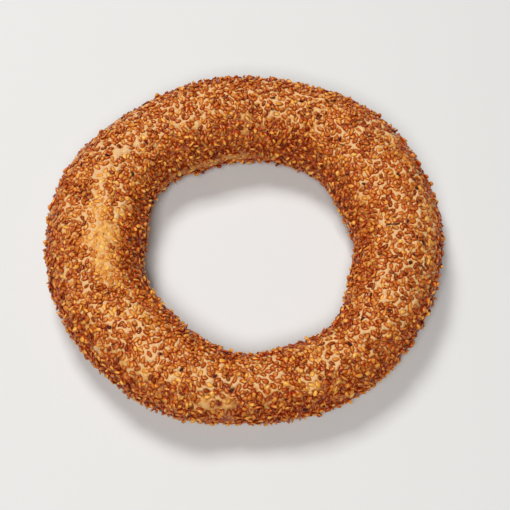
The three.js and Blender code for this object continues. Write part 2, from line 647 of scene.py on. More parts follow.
@dataclass(frozen=True)
class DoughFinish:
    """Baked dough: brown against the seeds, partly from baking and partly painted shade, golden
    between them and pale where it stretched.

    Attributes:
        brown: The colour where the mesh's paleness is 0.
        golden: The colour between.
        pale: The colour where it is 1.
        golden_at: The paleness of the golden dough.
        roughness: How rough the crust is.
        specular: How strongly it reflects.
        mottle: How far fine mottles change the paleness.
        mottle_scale: How many of them there are a metre.
        mottle_contrast: How sharp they are.
        pore_scale: How many pores there are a metre.
        pore_contrast: How sharp they are.
        pore_strength: How strongly their relief shows.
        pore_depth: How deep it is, in metres.
    """

    brown: Colour = (0.30, 0.021, 0.001)
    golden: Colour = (0.75, 0.35, 0.07)
    pale: Colour = (0.86, 0.66, 0.42)
    golden_at: float = 0.5
    roughness: float = 0.32
    specular: float = 0.4
    mottle: float = 0.6
    mottle_scale: float = 750.0
    mottle_contrast: float = 2.2
    pore_scale: float = 2600.0
    pore_contrast: float = 1.6
    pore_strength: float = 0.8
    pore_depth: float = 0.0005

    def make(self, grain: bpy.types.NodeTree) -> bpy.types.Material:
        """Build the material, which reads the mesh's own value `paleness`.

        Args:
            grain: The grain's node group.

        Returns:
            The material.
        """
        surface = Surface("baked_dough")
        mottle = surface.grain(grain, self.mottle_scale, self.mottle_contrast).outputs["Amount"]
        pores = surface.grain(grain, self.pore_scale, self.pore_contrast)
        baked = surface.sum("MULTIPLY_ADD", mottle, self.mottle, surface.attribute("paleness"))
        baked = surface.sum("SUBTRACT", baked, self.mottle / 2)
        stops = ((0.0, self.brown), (self.golden_at, self.golden), (1.0, self.pale))
        surface.feed(surface.shader.inputs["Base Color"], surface.ramp(baked, stops))
        surface.polish(self.roughness, self.specular)
        surface.bump(pores.outputs["Height"], self.pore_strength, self.pore_depth)
        return surface.material


@dataclass(frozen=True)
class SesameFinish:
    """Toasted sesame: a tone that differs from seed to seed, with dark syrup and painted shade at
    its rim and lower side.

    Attributes:
        name: The material's name.
        light: The colour of the lightest seeds of the kind.
        deep: The colour of its deepest seeds, and of the spots on all of them.
        syrup_and_shade: The colour where the syrup lies thick and where shade is painted.
        roughness: How rough the glaze is.
        specular: How strongly it reflects.
        glint: The colour of its reflections.
        mottle: How strong the spots are.
        syrup_and_shade_growth: How fast the syrup and painted shade deepen with the mesh's own
            value.
        syrup_and_shade_start: What is added to that.
        skin_scale: How many spots there are a metre.
        skin_contrast: How sharp they are.
        skin_strength: How strongly their relief shows.
        skin_depth: How deep it is, in metres.
    """

    name: str
    light: Colour
    deep: Colour
    syrup_and_shade: Colour
    roughness: float = 0.2
    specular: float = 0.45
    glint: Colour = (1.0, 0.76, 0.5)
    mottle: float = 0.5
    syrup_and_shade_growth: float = 2.1
    syrup_and_shade_start: float = -0.5
    skin_scale: float = 1500.0
    skin_contrast: float = 2.0
    skin_strength: float = 0.25
    skin_depth: float = 0.0002

    def make(self, grain: bpy.types.NodeTree) -> bpy.types.Material:
        """Build the material, which reads the mesh's own values `tone` and `syrup_and_shade`, the
        second for its syrup and painted shade.

        Args:
            grain: The grain's node group.

        Returns:
            The material.
        """
        surface = Surface(self.name)
        skin = surface.grain(grain, self.skin_scale, self.skin_contrast)
        tone = surface.mix(surface.attribute("tone"), self.light, self.deep)
        spots = surface.sum("MULTIPLY", skin.outputs["Amount"], self.mottle)
        mottled = surface.mix(spots, tone, self.deep)
        # Dark syrup and painted shade, deepest at the rim and the lower side of each seed.
        syrup_and_shade = surface.sum(
            "MULTIPLY_ADD", surface.attribute("syrup_and_shade"), self.syrup_and_shade_growth, self.syrup_and_shade_start
        )
        colour = surface.mix(syrup_and_shade, mottled, self.syrup_and_shade)
        surface.feed(surface.shader.inputs["Base Color"], colour)
        surface.polish(self.roughness, self.specular)
        surface.feed(surface.shader.inputs["Specular Tint"], self.glint)
        surface.bump(skin.outputs["Height"], self.skin_strength, self.skin_depth)
        return surface.material


class SeedKind(Enum):
    """The kinds of seed, from the least toasted to burnt, each a piece of its own."""

    GOLDEN = "golden_sesame"
    HONEY = "honey_sesame"
    AMBER = "amber_sesame"
    RUSSET = "russet_sesame"
    DARK = "dark_sesame"
    BLACK = "black_seeds"


SEED_FINISHES = {
    SeedKind.GOLDEN: SesameFinish(
        "golden_sesame", (0.84, 0.47, 0.105), (0.78, 0.35, 0.045), (0.46, 0.046, 0.001)
    ),
    SeedKind.HONEY: SesameFinish(
        "honey_sesame", (0.74, 0.36, 0.068), (0.67, 0.25, 0.03), (0.40, 0.032, 0.001)
    ),
    SeedKind.AMBER: SesameFinish(
        "amber_sesame", (0.645, 0.242, 0.038), (0.56, 0.152, 0.016), (0.33, 0.020, 0.001)
    ),
    SeedKind.RUSSET: SesameFinish(
        "russet_sesame", (0.555, 0.161, 0.018), (0.445, 0.084, 0.006), (0.26, 0.012, 0.001)
    ),
    SeedKind.DARK: SesameFinish(
        "dark_sesame", (0.38, 0.068, 0.005), (0.24, 0.028, 0.002), (0.12, 0.007, 0.001)
    ),
    SeedKind.BLACK: SesameFinish(
        "black_seeds", (0.11, 0.030, 0.026), (0.045, 0.014, 0.012), (0.02, 0.007, 0.006), 0.4, 0.1
    ),
}

STALK_FINISH = SesameFinish(
    "burnt_stalk", (0.13, 0.048, 0.017), (0.08, 0.028, 0.009), (0.05, 0.018, 0.006), 0.4, 0.15
)


def finish_piece(mesh: bpy.types.Mesh, material: bpy.types.Material) -> bpy.types.Object:
    """Make a mesh a piece of the bread.

    Args:
        mesh: The mesh, in metres, in its place.
        material: What it is made of.

    Returns:
        The object, which rides on the bread's body and stands for its solid.
    """
    mesh.materials.append(material)
    piece = bpy.data.objects.new(mesh.name, mesh)
    bpy.context.scene.collection.objects.link(piece)
    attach(piece, BODY)
    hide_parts(NODE)
    return piece


# ---------------------------------------------------------------------------------------------
# The dough
# ---------------------------------------------------------------------------------------------


@dataclass(frozen=True)
class Skin:
    """The finer relief of the dough, in millimetres, which the seeds follow too.

    Attributes:
        swell_size: The size of its soft swells.
        swell_height: How high they are.
        wrinkle_size: The size of its wrinkles.
        wrinkle_height: How high they are.
        wrinkle_shift: Where their noise is read.
        wrinkle_least: What is left of them on the foot, from 0 to 1.
        foot_height: How high the dough's flat underside lies.
        foot_fade: How far above it the relief is whole.
    """

    swell_size: float = 9.0
    swell_height: float = 0.45
    wrinkle_size: float = 1.8
    wrinkle_height: float = 0.25
    wrinkle_shift: float = 13.0
    wrinkle_least: float = 0.2
    foot_height: float = 0.5
    foot_fade: float = 3.0

    def off_the_foot(self, frames: Frames, least: float = 0.0) -> np.ndarray:
        """Return how free of the flat foot places are, from the least share to 1."""
        return np.clip((frames.point[:, 2] - self.foot_height) / self.foot_fade, least, 1)

    def soft_points(self, frames: Frames) -> np.ndarray:
        """Return the places in millimetres, moved out by the soft swells."""
        swell = noise_at(frames.point, self.swell_size, 2) * self.swell_height
        return frames.point + frames.out * (swell * self.off_the_foot(frames))[:, None]

    def fine(self, frames: Frames) -> np.ndarray:
        """Return the height of the wrinkles, out of the soft swells."""
        wrinkles = noise_at(frames.point, self.wrinkle_size, 3, self.wrinkle_shift)
        return wrinkles * self.wrinkle_height * self.off_the_foot(frames, self.wrinkle_least)


@dataclass(frozen=True)
class Baking:
    """How pale the dough is, from 0, brown, to 1, pale: as the oven leaves it, with painted shade
    against the seeds and under heaps, and painted light in the gaps on the crest.

    Attributes:
        web: The paleness right against the seeds, where shade is painted as well as browning.
        gap_on_flank: How much paler it is in the gaps between the seeds.
        gap_on_crest: How much paler again in the gaps on the crest, partly painted light where the
            crest faces the lamps.
        split: How much paler where the crust split.
        bare_web: How much paler against the seeds where the crust is bare.
        bare_gap: How much of that is lost in the gaps there, which brown in the open.
        thin_gap: How much paler in the gaps on the crest where the crust is thin.
        heap_shade: How much of the paleness of gaps a heaped crust takes away, as painted shade
            under the heap.
        mottle: How strongly it is mottled all over.
        mottle_size: The size of the mottles in millimetres.
        mottle_shift: Where their noise is read.
    """

    web: float = 0.06
    gap_on_flank: float = 0.22
    gap_on_crest: float = 0.6
    split: float = 0.3
    bare_web: float = 0.45
    bare_gap: float = 0.75
    thin_gap: float = 0.15
    heap_shade: float = 0.6
    mottle: float = 0.2
    mottle_size: float = 6.0
    mottle_shift: float = 53.0

    def paleness(self, frames: Frames, clear: np.ndarray, shares: CrustShares) -> np.ndarray:
        """Work out how pale places on the dough are.

        Args:
            frames: The places.
            clear: How clear of the seeds they are, from 0 to 1.
            shares: What the crust is like over them.

        Returns:
            The paleness of each, from 0 to 1.
        """
        crest = crest_share(frames.section)
        mottle = noise_at(frames.point, self.mottle_size, 2, self.mottle_shift)
        # Painted shade: the gaps under a heap keep less of their paleness.
        clear = clear * (1 - self.heap_shade * shares.heaped)
        # Brown against the seeds is partly painted shade, and the gaps on the crest are paler,
        # partly painted light.
        paleness = (
            self.web
            + (self.gap_on_flank + self.gap_on_crest * crest * crest) * clear
            + self.mottle * mottle
            + self.split * shares.split
        )
        paleness += (
            shares.bare * (self.bare_web - self.bare_gap * clear)
            + self.thin_gap * shares.thin * clear * crest
        )
        return np.clip(paleness, 0, 1)


@dataclass(frozen=True)
class Dough:
    """The ring of dough under the seeds, dented by each of them and risen between them.

    Attributes:
        rope: The form of the rope.
        skin: Its finer relief.
        crust: The map of its crust.
        baking: How pale it is.
        steps_round: The faces along the rope.
        parts: The parts of its section, each from and to an angle in degrees, in so many faces.
        plain_radius: The radius of the plain ring that is shaped, in half-widths of its rope.
        seeds_asked: How many of the nearest seeds are looked at for each place.
        farthest: The most that a place is taken to lie from a seed, in units of its outline.
        rise: How far the dough rises between the seeds, in millimetres.
        dent: How far the dough is pressed in under a seed, in millimetres.
        dent_edge: Where it starts to rise, in units of the seed's outline.
        clear_edge: Where its colour, brown with painted shade against a seed, starts to clear, in
            the same units.
        edge_width: How far it takes over that on the flanks, in the same units.
        edge_on_crest: How much less it takes on the crest.
        swell: How much further it rises in a wide gap, in millimetres.
        swell_reach: How far from a seed it rises that much, in units of the seed's outline.
        bare_smooth: How much flatter the dents are where the crust is bare, from 0 to 1.
        split_rise: How far it rises in a split, in millimetres.
    """

    rope: Rope
    skin: Skin
    crust: CrustMap
    baking: Baking = field(default_factory=Baking)
    steps_round: int = 900
    parts: tuple[tuple[float, float, int], ...] = (
        (-145, -35, 12), (-35, 45, 19), (45, 135, 60), (135, 215, 19),
    )
    plain_radius: float = 2.0
    seeds_asked: int = 3
    farthest: float = 3.0
    rise: float = 0.12
    dent: float = 0.25
    dent_edge: float = 0.95
    clear_edge: float = 0.88
    edge_width: float = 0.32
    edge_on_crest: float = 0.14
    swell: float = 0.45
    swell_reach: float = 1.0
    bare_smooth: float = 0.5
    split_rise: float = 0.12

    def plain_ring(self) -> bmesh.types.BMesh:
        """Turn a circle round Z.

        Returns:
            A ring of the plain radius, with a rope of half-width 1.
        """
        ring = bmesh.new()
        steps = sum(part[2] for part in self.parts)
        bmesh.ops.create_circle(ring, segments=steps, radius=1.0)
        angles = np.concatenate(
            [np.linspace(start, end, steps, endpoint=False) for start, end, steps in self.parts]
        )
        for vertex, angle in zip(ring.verts, np.radians(angles), strict=True):
            vertex.co = Vector((self.plain_radius + math.cos(angle), 0.0, math.sin(angle)))
        bmesh.ops.spin(
            ring,
            geom=ring.verts[:] + ring.edges[:],
            cent=(0, 0, 0),
            axis=(0, 0, 1),
            angle=TURN,
            steps=self.steps_round,
            use_merge=True,
        )
        return ring

    def from_seeds(
        self, points: np.ndarray, seats: "Seats", bed: int, form: "SeedForm"
    ) -> np.ndarray:
        """Measure how far each place is from the nearest seed, in units of the seed's outline.

        Args:
            points: Places on the skin in millimetres.
            seats: Where the seeds lie.
            bed: How many of them lie in the dough.
            form: The size of a seed.

        Returns:
            0 under the middle of a seed, 1 at its outline, and no more than the farthest.
        """
        tree = kdtree.KDTree(bed)
        for i, place in enumerate(seats.place[:bed]):
            tree.insert(place, i)
        tree.balance()
        asked = self.seeds_asked
        nearest = np.array([[hit[1] for hit in tree.find_n(p, asked)] for p in points.tolist()])
        found = np.full(len(points), self.farthest)
        for which in nearest.T:
            apart = points - seats.place[which]
            sides = np.cross(seats.top[which], seats.nose[which])
            lengthwise = (apart * seats.nose[which]).sum(axis=1) / (form.length / 2)
            across = (apart * sides).sum(axis=1) / (form.width / 2)
            found = np.minimum(found, np.hypot(lengthwise, across))
        return found

    def past(self, edge: float, from_seed: np.ndarray, crest: np.ndarray) -> np.ndarray:
        """Work out how far places are past an edge round the seeds.

        Args:
            edge: Where the edge starts, in units of a seed's outline.
            from_seed: How far the places are from a seed, in the same units.
            crest: How near they are to the crest, from 0 to 1.

        Returns:
            0 at the start of the edge and 1 past its end.
        """
        return np.clip((from_seed - edge) / (self.edge_width - self.edge_on_crest * crest), 0, 1)

    def height(self, frames: Frames, from_seed: np.ndarray, shares: CrustShares) -> np.ndarray:
        """Work out how far the dough stands out of its soft swells.

        Args:
            frames: The places.
            from_seed: How far they are from a seed, in units of its outline.
            shares: What the crust is like over them.

        Returns:
            The heights in millimetres.
        """
        crest = crest_share(frames.section)
        open_skin = self.past(self.dent_edge, from_seed, crest)
        inflated = np.clip((from_seed - self.dent_edge) / self.swell_reach, 0, 1)
        swollen = np.sin(inflated * math.pi / 2)
        height = (self.rise + self.dent) * open_skin - self.dent
        height = (
            height * (1 - self.bare_smooth * shares.bare)
            + self.swell * swollen * crest
            + self.split_rise * shares.split
        )
        return height * self.skin.off_the_foot(frames) + self.skin.fine(frames)

    def build(
        self, material: bpy.types.Material, seats: "Seats", bed: int, form: "SeedForm"
    ) -> bpy.types.Object:
        """Shape the ring to the rope, add its relief and dress it.

        Args:
            material: The dough's finish.
            seats: Where the seeds lie.
            bed: How many of them lie in the dough.
            form: The size of a seed.

        Returns:
            The finished piece.
        """
        ring = self.plain_ring()
        x, y, z = np.array([vertex.co for vertex in ring.verts]).T
        frames = self.rope.frames(
            np.arctan2(y, x), np.arctan2(z, np.hypot(x, y) - self.plain_radius)
        )
        soft = self.skin.soft_points(frames)
        from_seed = self.from_seeds(soft, seats, bed, form)
        shares = self.crust.read(frames)
        height = self.height(frames, from_seed, shares)
        shaped = (soft + frames.out * height[:, None]) * METRES_PER_MM
        for vertex, place in zip(ring.verts, shaped.tolist(), strict=True):
            vertex.co = place
        bmesh.ops.recalc_face_normals(ring, faces=ring.faces)
        mesh = bpy.data.meshes.new("dough")
        ring.to_mesh(mesh)
        ring.free()
        mesh.shade_smooth()
        clear = self.past(self.clear_edge, from_seed, crest_share(frames.section))
        paleness = self.baking.paleness(frames, clear, shares)
        mesh.attributes.new("paleness", "FLOAT", "POINT").data.foreach_set("value", paleness)
        LOG.info("dough: %d faces", len(mesh.polygons))
        return finish_piece(mesh, material)


# ---------------------------------------------------------------------------------------------
# The seeds
# ---------------------------------------------------------------------------------------------


@dataclass(frozen=True)
class SeedForm:
    """One sesame seed: a flat drop, its length along X, in millimetres.

    Attributes:
        length: Its length.
        width: Its width.
        thickness: Its thickness.
        sides: The faces round its length.
        bands: The faces along its length.
        blunt_shift: How far its broadest place lies towards its blunt end.
        narrowing: How much narrower and thinner it is at its point.
        shoulder: How much fuller its flanks are than a ball's.
        shoulder_from: How far off its middle line they start, in half-widths.
        spread: The spread of its three sizes, as a share of each.
        least: The least of the three shares.
        most: The most of them.
        black: How large a black seed is, as a share of a toasted one.
    """

    length: float = 3.1
    width: float = 1.88
    thickness: float = 0.95
    sides: int = 8
    bands: int = 4
    blunt_shift: float = 0.18
    narrowing: float = 0.28
    shoulder: float = 1.12
    shoulder_from: float = 0.2
    spread: float = 0.13
    least: float = 0.7
    most: float = 1.3
    black: float = 0.65

    def shape(self) -> tuple[np.ndarray, np.ndarray, list[tuple[int, ...]]]:
        """Shape a ball into a seed.

        Returns:
            The vertices, how near each is to the seed's rim from 0 to 1, and the faces.
        """
        ball = bmesh.new()
        bmesh.ops.create_uvsphere(ball, u_segments=self.sides, v_segments=self.bands, radius=1.0)
        ball.verts.ensure_lookup_table()
        across, up, along = np.array([vertex.co for vertex in ball.verts]).T
        faces = [tuple(vertex.index for vertex in face.verts) for face in ball.faces]
        ball.free()
        narrowed = 1.0 - self.narrowing * along
        lift = up * np.where(np.abs(across) > self.shoulder_from, self.shoulder, 1.0)
        vertices = np.stack(
            [
                self.length / 2 * (along - self.blunt_shift * (1 - along * along)),
                self.width / 2 * across * narrowed,
                self.thickness / 2 * lift * narrowed,
            ],
            axis=-1,
        )
        rim = np.sqrt(np.clip(1 - up**2, 0, 1))
        rim = np.maximum(rim * np.hypot(along, across), np.abs(along) ** 2)
        return vertices, rim, faces


class Seats:
    """Where the seeds lie, one row for each, in millimetres and radians."""

    def __init__(self, most: int) -> None:
        """Start with no seed.

        Args:
            most: The most seeds that there may be.
        """
        self.count = 0
        self.skin = np.zeros((most, 3))
        self.place = np.zeros((most, 3))
        self.nose = np.zeros((most, 3))
        self.top = np.zeros((most, 3))
        self.out = np.zeros((most, 3))
        self.azimuth = np.zeros(most)
        self.section = np.zeros(most)
        self.bare = np.zeros(most)
        self.heaped = np.zeros(most)
        self.outline = np.zeros(most)


class Neighbours:
    """A grid of cubes that finds the seeds near a place."""

    def __init__(self, cell: float) -> None:
        """Start with cubes of a size in millimetres."""
        self.cell = cell
        self.cubes: dict[tuple[int, int, int], list[int]] = {}

    def key(self, place: np.ndarray) -> tuple[int, int, int]:
        """Return the cube that a place is in."""
        return tuple(int(math.floor(value / self.cell)) for value in place)

    def add(self, place: np.ndarray, index: int) -> None:
        """Note a seed at a place."""
        self.cubes.setdefault(self.key(place), []).append(index)

    def near(self, place: np.ndarray) -> list[int]:
        """Find the seeds in a place's cube and those round it.

        Args:
            place: The place in millimetres.

        Returns:
            The seeds' numbers.
        """
        i, j, k = self.key(place)
        found: list[int] = []
        for x in (i - 1, i, i + 1):
            for y in (j - 1, j, j + 1):
                for z in (k - 1, k, k + 1):
                    found.extend(self.cubes.get((x, y, z), ()))
        return found


@dataclass(frozen=True)
class SeedLayer:
    """One dip in sesame: how close the seeds lie, and how they sit, in millimetres.

    Each pair is the value on the crest of the rope and the value on its flanks.

    Attributes:
        name: What the log calls it.
        room: How much room a seed takes, for each millimetre of its own size.
        crowding: The most that a seed may run into its neighbours, taken together.
        proud: How far a seed's middle lies out of the skin.
        pile: How far a seed rises for each millimetre that it runs into its neighbours.
        roll: The spread of how far a seed rolls onto its edge, in radians.
        outline: How much the syrup and painted shade follow a seed's outline, not its lower side,
            from 0 to 1.
        only_heaps: Whether seeds lie only where the crust is heaped.
    """

    name: str
    room: tuple[float, float]
    crowding: tuple[float, float]
    proud: tuple[float, float]
    pile: float
    roll: tuple[float, float]
    outline: float
    only_heaps: bool = False


BED = SeedLayer("bed", (0.98, 0.95), (0.6, 0.9), (-0.14, -0.14), 0.1, (0.3, 0.45), 0.55)
HEAP = SeedLayer("heap", (1.25, 1.25), (0.25, 0.35), (0.38, 0.6), 0.12, (0.8, 1.1), 0.1, True)

# Each is an angle round the ring and an angle round the rope, in degrees.
BLACK_SEED_PLACES = (
    (185, 77), (210, 93), (213, 77), (220, 67), (241, 81), (250, 78), (260, 81), (262, 137),
    (157, 58), (168, 74), (136, 110), (152, 122), (155, 172), (110, 162), (78, 90), (68, 83),
    (64, 101), (46, 107), (42, 114), (46, 87), (40, 66), (22, 124), (13, 58), (1, 82),
    (354, 68), (353, 61), (348, 71), (345, 70), (328, 112), (326, 79), (318, 104), (309, 90),
    (301, 62), (288, 13),
)


@dataclass(frozen=True)
class Sown:
    """Places where seeds of a layer are tried one after another, one row for each.

    Attributes:
        frames: The places on the smooth skin, with their directions.
        skin: The same places on the soft swells, in millimetres.
        bare: How bare the crust is there, from 0 to 1.
        heaped: How heaped it is, from 0 to 1.
        flank: How far down the flank a seed counts as lying, from 0 to 1.
        room: How much room the seed takes, for each millimetre of its own size.
        noses: The directions that its point may have.
        draws: Three draws a seed, for how proud, rolled and pitched it lies.
    """

    frames: Frames
    skin: np.ndarray
    bare: np.ndarray
    heaped: np.ndarray
    flank: np.ndarray
    room: np.ndarray
    noses: np.ndarray
    draws: np.ndarray


@dataclass(frozen=True)
class Strewing:
    """How sesame falls on the wet dough and settles there.

    Attributes:
        darts: How many places are drawn for each layer, before the thinning by area.
        flank_fall: How soon, going down, a seed counts as lying on the flank.
        clump_size: The size of the clumps that seeds lie in, in millimetres.
        clump_shift: Where the noise of the clumps is read.
        clumping: How much more room a seed takes between the clumps.
        bare_room: How much less room it takes where the crust is bare.
        thin_room: How much more room it takes where the crust is thin.
        split_limit: How split the crust is where no seed lies, from 0 to 1.
        sunk_chance: The chance that a seed sank, where the crust is thin.
        sunk_bareness: How bare the crust then counts as round it.
        heap_clumping: How much the clumps add to the chance of a seed in a heap.
        heap_on_crest: How much of that there is on the crest.
        heap_on_flank: How much more on the flanks.
        heap_lowest: The least upward part of the skin's outward direction under a heap.
        heap_barest: How bare and thin the crust may be under a heap.
        stray_chance: The chance that a seed lies loose on the flank.
        stray_lowest: The same under a loose seed.
        closest: How near two seeds' middles may be, in widths of a seed.
        bare_sinking: How much deeper a seed lies where the crust is bare, in millimetres.
        proud_spread: The spread of how proud a seed lies, in millimetres.
        pitch_share: The spread of the seeds' pitch, as a share of the spread of their roll.
        lean: How far a seed leans off the neighbours it runs into, for each millimetre.
        ways: How many directions of its point are tried.
        draw_limit: The most that a normal draw may be, up or down.
    """

    darts: int = 260_000
    flank_fall: float = 1.25
    clump_size: float = 4.0
    clump_shift: float = 7.0
    clumping: float = 0.26
    bare_room: float = 0.03
    thin_room: float = 0.5
    split_limit: float = 0.65
    sunk_chance: float = 0.5
    sunk_bareness: float = 0.85
    heap_clumping: float = 0.4
    heap_on_crest: float = 0.25
    heap_on_flank: float = 0.75
    heap_lowest: float = -0.9
    heap_barest: float = 0.2
    stray_chance: float = 0.006
    stray_lowest: float = -0.3
    closest: float = 0.75
    bare_sinking: float = 0.24
    proud_spread: float = 0.1
    pitch_share: float = 0.75
    lean: float = 0.25
    ways: int = 8
    draw_limit: float = 2.0


@dataclass(frozen=True)
class Toasting:
    """How brown each seed is: a level from about 0, golden, to 1.3, nearly black.

    Attributes:
        level: The level of a seed of the bed.
        spread: How far seeds differ by chance.
        crest_evenness: How much less they differ on the crest.
        crest_level: How much browner they are on the crest.
        drifts: Slow changes over the bread, each by its size in millimetres, height and shift.
        bare_on_flank: How much of the bare places' paleness there is on the flanks.
        bare_on_crest: How much more of it on the crest.
        bare: How much paler the seeds of bare places are.
        loose: How much paler a seed is that lies on others, a painted light on the lit upper seeds
            of a heap.
        edges: The levels that the kinds lie between.
        burnt: The chance that a seed is burnt black.
        bare_syrup_and_shade: How much less syrup and painted shade there is where the crust is
            bare.
        heap_syrup_and_shade: How much more syrup and painted shade a seed under a heap has.
    """

    level: float = 0.81
    spread: float = 0.3
    crest_evenness: float = 0.25
    crest_level: float = 0.02
    drifts: tuple[tuple[float, float, float], ...] = ((12.0, 0.14, 29.0), (3.4, 0.35, 61.0))
    bare_on_flank: float = 0.3
    bare_on_crest: float = 0.7
    bare: float = 0.62
    loose: float = 0.36
    edges: tuple[float, ...] = (-0.1, 0.2, 0.42, 0.66, 0.96, 1.3)
    burnt: float = 0.002
    bare_syrup_and_shade: float = 0.5
    heap_syrup_and_shade: float = 0.25


@dataclass
class SesameCrust:
    """Every seed on the bread: where each lies, how toasted it is, and the pieces they make.

    Attributes:
        rope: The form of the rope.
        skin: Its finer relief.
        crust: The map of its crust.
        form: The size and shape of a seed.
        strewing: How the seeds fall and settle.
        toasting: How brown they are.
        most: The most seeds that there may be.
        clearance: How high the lowest point of a seed lies at least, in millimetres.
        start: What the random draws start from.
    """

    rope: Rope
    skin: Skin
    crust: CrustMap
    form: SeedForm = field(default_factory=SeedForm)
    strewing: Strewing = field(default_factory=Strewing)
    toasting: Toasting = field(default_factory=Toasting)
    most: int = 20_000
    clearance: float = 0.02
    start: int = 11

    def __post_init__(self) -> None:
        """Start the random draws and the empty seats."""
        self.random = np.random.default_rng(self.start)
        self.seats = Seats(self.most)

    def throw_darts(self, count: int) -> Frames:
        """Draw places spread evenly over the whole skin.

        Args:
            count: How many are drawn, before those too many for their area are dropped.

        Returns:
            The places that are left.
        """
        azimuth = self.random.uniform(0, TURN, count)
        section = self.random.uniform(-math.pi, math.pi, count)
        frames = self.rope.frames(azimuth, section)
        kept = self.random.uniform(0, 1, count) < frames.area / frames.area.max()
        return frames.pick(kept)

    def in_heaps(
        self, frames: Frames, shares: CrustShares, flank: np.ndarray, clumps: np.ndarray
    ) -> tuple[np.ndarray, np.ndarray]:
        """Draw where seeds lie on others.

        Args:
            frames: The places.
            shares: What the crust is like there.
            flank: How far down the flank each counts as lying, from 0 to 1.
            clumps: How dense the clumps are there, round 0.

        Returns:
            Whether each place is in a heap, and whether a stray seed lies there in any case.
        """
        rules = self.strewing
        chance = self.random.uniform(0, 1, len(flank))
        slope = frames.out[:, 2]
        clumped = clumps * (rules.heap_on_crest + rules.heap_on_flank * flank)
        heap = chance < shares.heaped + rules.heap_clumping * clumped
        heap &= (slope > rules.heap_lowest) & (shares.bare + shares.thin < rules.heap_barest)
        return heap, (chance < rules.stray_chance * flank) & (slope > rules.stray_lowest)

    def sow(self, layer: SeedLayer) -> Sown:
        """Draw the places of a layer, and how a seed would lie at each.

        Args:
            layer: The layer.

        Returns:
            The places, in the order that they are tried.
        """
        rules = self.strewing
        frames = self.throw_darts(rules.darts)
        shares = self.crust.read(frames)
        bare, thin = shares.bare, shares.thin
        flank = np.clip(rules.flank_fall - rules.flank_fall * np.sin(frames.section), 0, 1)
        flank = np.clip(np.maximum(flank, shares.heaped) - bare - thin, 0, 1)
        sunk = self.random.uniform(0, 1, len(bare)) < rules.sunk_chance * thin
        clumps = noise_at(frames.point, rules.clump_size, 2, rules.clump_shift)
        room = layer.room[0] + (layer.room[1] - layer.room[0]) * flank
        room = room * (
            1
            + rules.clumping * clumps * (1 - bare)
            - rules.bare_room * bare
            + rules.thin_room * thin * thin
        )
        kept = shares.split < rules.split_limit
        if layer.only_heaps:
            heap, stray = self.in_heaps(frames, shares, flank, clumps)
            kept = (kept & heap) | stray
        bare = np.where(sunk, np.maximum(bare, rules.sunk_bareness), bare)[kept]
        frames = frames.pick(kept)
        yaws = self.random.uniform(0, TURN, (len(bare), rules.ways, 1))
        noses = np.cos(yaws) * frames.along[:, None] + np.sin(yaws) * frames.side[:, None]
        draws = self.random.normal(0, 1, (len(bare), 3))
        draws = draws.clip(-rules.draw_limit, rules.draw_limit)
        skin = self.skin.soft_points(frames)
        heaped = shares.heaped[kept]
        return Sown(frames, skin, bare, heaped, flank[kept], room[kept], noses, draws)

    def crowding(
        self, apart: np.ndarray, noses: np.ndarray, others: np.ndarray, room: float
    ) -> tuple[np.ndarray, np.ndarray]:
        """Measure how far a seed would run into its neighbours, for each way of laying it.

        Args:
            apart: How far away each neighbour is, one a row.
            noses: The directions of its point to try, one a row.
            others: The directions of the neighbours' points.
            room: How much room a seed takes, for each millimetre of its size.

        Returns:
            The overlaps in millimetres, a row for each neighbour and a column for each way, and
            the directions of the neighbours.
        """
        half_long, half_wide = room * self.form.length / 2, room * self.form.width / 2
        distance = np.sqrt((apart * apart).sum(axis=1))
        heading = apart / distance[:, None]
        mine = (heading @ noses.T) ** 2
        theirs = (heading * others).sum(axis=1) ** 2
        mine = 1 / np.sqrt(mine / half_long**2 + (1 - mine) / half_wide**2)
        theirs = 1 / np.sqrt(theirs / half_long**2 + (1 - theirs) / half_wide**2)
        return np.maximum(mine + (theirs - distance)[:, None], 0), heading

    def fit(
        self, layer: SeedLayer, sown: Sown, i: int, near: list[int]
    ) -> tuple[int, float, np.ndarray] | None:
        """Find the way of laying a seed that runs least into its neighbours.

        Args:
            layer: The layer.
            sown: Its places.
            i: The number of the seed's place.
            near: The seeds that lie near it.

        Returns:
            The way's number, how far the seed runs into its neighbours, in millimetres, and the
            direction that most of them lie in. There is nothing where it has no room.
        """
        if not near:
            return 0, 0.0, np.zeros(3)
        apart = self.seats.skin[near] - sown.skin[i]
        nearest = (self.strewing.closest * self.form.width) ** 2
        if (apart * apart).sum(axis=1).min() < nearest:
            return None
        over, heading = self.crowding(apart, sown.noses[i], self.seats.nose[near], sown.room[i])
        totals = over.sum(axis=0)
        best = int(totals.argmin())
        total = float(totals[best])
        if total > np.interp(sown.flank[i], (0, 1), layer.crowding):
            return None
        return best, total, over[:, best] @ heading

